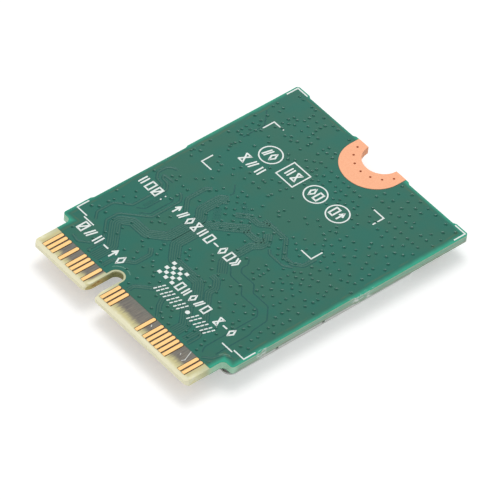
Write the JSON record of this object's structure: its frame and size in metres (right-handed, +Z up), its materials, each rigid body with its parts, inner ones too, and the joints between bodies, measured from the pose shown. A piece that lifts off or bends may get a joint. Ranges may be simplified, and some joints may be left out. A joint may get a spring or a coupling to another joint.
{
  "type": "laptop wifi card",
  "caption": "Plug-in wifi card for a laptop: small green circuit board with gold edge contacts, a half-moon screw notch, a shield can and two antenna receptacles.",
  "frame": {"origin": "centre of the 22 by 30 mm footprint, at the outer face of the shield lid that the card lies on", "axes": "+Z up, towards the solder side; +Y towards the screw notch; the edge contacts point to -Y; X across the card"},
  "size_m": [0.022, 0.03, 0.0023],
  "materials": {
    "laminate": "cut glass epoxy, satin",
    "solder_mask": "satin green solder mask",
    "gold_contact": "gold plated copper",
    "ground_copper": "bare plated copper, satin",
    "white_print": "screen printed ink",
    "shield_sheet": "tinned sheet, satin",
    "tinned_ends": "tin plate",
    "chip_black": "moulded epoxy",
    "chip_substrate": "green laminate",
    "ceramic_white": "fired ceramic",
    "ceramic_tan": "fired ceramic",
    "ferrite": "ferrite",
    "connector_plastic": "moulded liquid crystal polymer",
    "connector_gold": "gold plated phosphor bronze"
  },
  "bodies": {
    "root": {"circuit_board": "laminate", "solder_mask_upper": "solder_mask", "solder_mask_lower": "solder_mask", "edge_contacts_upper": "gold_contact", "edge_contacts_lower": "gold_contact", "screw_ground_pad": "ground_copper", "legend_print": "white_print", "shield_land": "gold_contact", "shield_frame": "shield_sheet", "shield_lid": "shield_sheet", "radio_chip_lands": "tinned_ends", "radio_chip_substrate": "chip_substrate", "radio_chip_moulding": "chip_black", "front_end_modules": "chip_black", "band_filters": "ceramic_white", "diplexer_filters": "ceramic_white", "crystal_case": "ceramic_tan", "crystal_cap": "tinned_ends", "memory_chip": "chip_black", "power_switch": "chip_black", "inductor_bodies": "ferrite", "inductor_terminals": "tinned_ends", "capacitor_bodies": "ceramic_tan", "capacitor_terminals": "tinned_ends", "resistor_bodies": "chip_black", "resistor_terminals": "tinned_ends", "main_antenna_base": "connector_plastic", "main_antenna_contact": "connector_gold", "main_antenna_shell": "connector_gold", "second_antenna_base": "connector_plastic", "second_antenna_contact": "connector_gold", "second_antenna_shell": "connector_gold"}
  },
  "joints": []
}
